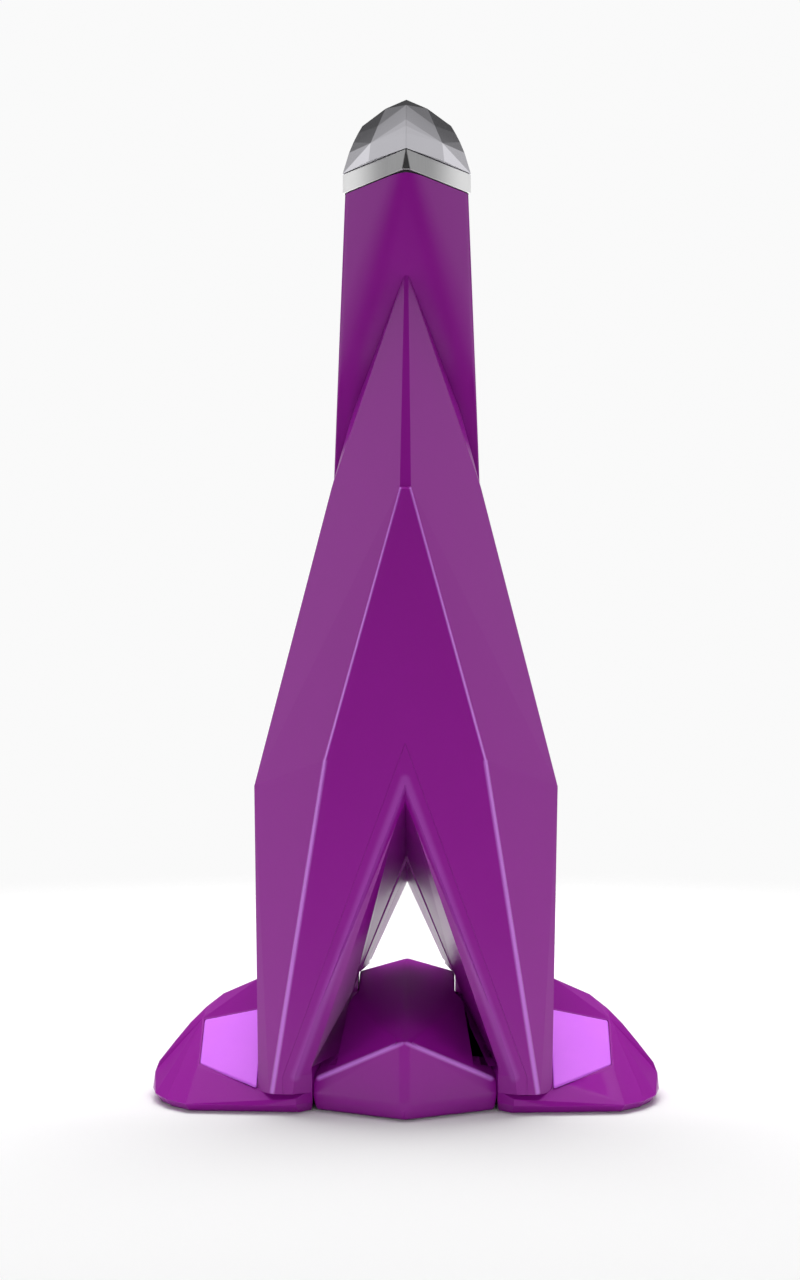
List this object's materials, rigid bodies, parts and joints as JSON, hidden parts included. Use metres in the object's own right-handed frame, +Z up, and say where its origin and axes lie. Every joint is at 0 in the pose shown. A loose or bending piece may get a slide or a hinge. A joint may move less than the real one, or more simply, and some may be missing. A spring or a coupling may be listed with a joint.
{
  "type": "hinged fluke anchor",
  "caption": "Hinged fluke anchor standing on its crown: a pointed split fluke in front of a shank that swings back on a cross pin, with a metal rode head.",
  "frame": {"origin": "centre of the sole, on the floor, under the shank's front face", "axes": "+X to the right when the fluke's face is seen from the front, +Y from the fluke back towards the shank, +Z up along the stowed shank"},
  "size_m": [0.203, 0.124, 0.4],
  "materials": {
    "purple_shell": "satin gloss, deep purple",
    "lilac_inlay": "satin, bright lilac",
    "polished_head": "polished",
    "brushed_collar": "brushed upright",
    "steel": "machined",
    "iron": "painted dark",
    "rubber": "matt",
    "nylon": "natural nylon"
  },
  "bodies": {
    "crown": {"crown_block": "iron", "toe_ramp": "purple_shell", "left_stabiliser": "purple_shell", "right_stabiliser": "purple_shell", "left_tread": "lilac_inlay", "right_tread": "lilac_inlay", "sole_plate": "iron", "sole_pads": "rubber", "sole_screws": "steel", "pivot_pin": "steel", "pin_clips": "steel", "pin_spacers": "nylon", "fluke_shell": "purple_shell", "fluke_face": "purple_shell", "fluke_back": "purple_shell", "fluke_spine": "steel", "fluke_ballast": "iron", "spine_bolts": "steel", "fluke_back_screws": "steel", "rest_buffers": "rubber"},
    "shank": {"shank_core": "steel", "shank_front": "purple_shell", "shank_back": "purple_shell", "shank_screws": "steel", "pivot_bushes": "nylon", "collar": "brushed_collar", "collar_seal": "rubber", "rode_head": "polished_head", "eye_bush": "brushed_collar", "head_bolt": "steel"}
  },
  "joints": [
    {"name": "shank_pivot", "type": "hinge", "parent": "crown", "child": "shank", "pos_m": [0, 0.011, 0.02], "axis": [-1, 0, 0], "range_deg": [0, 32]}
  ]
}
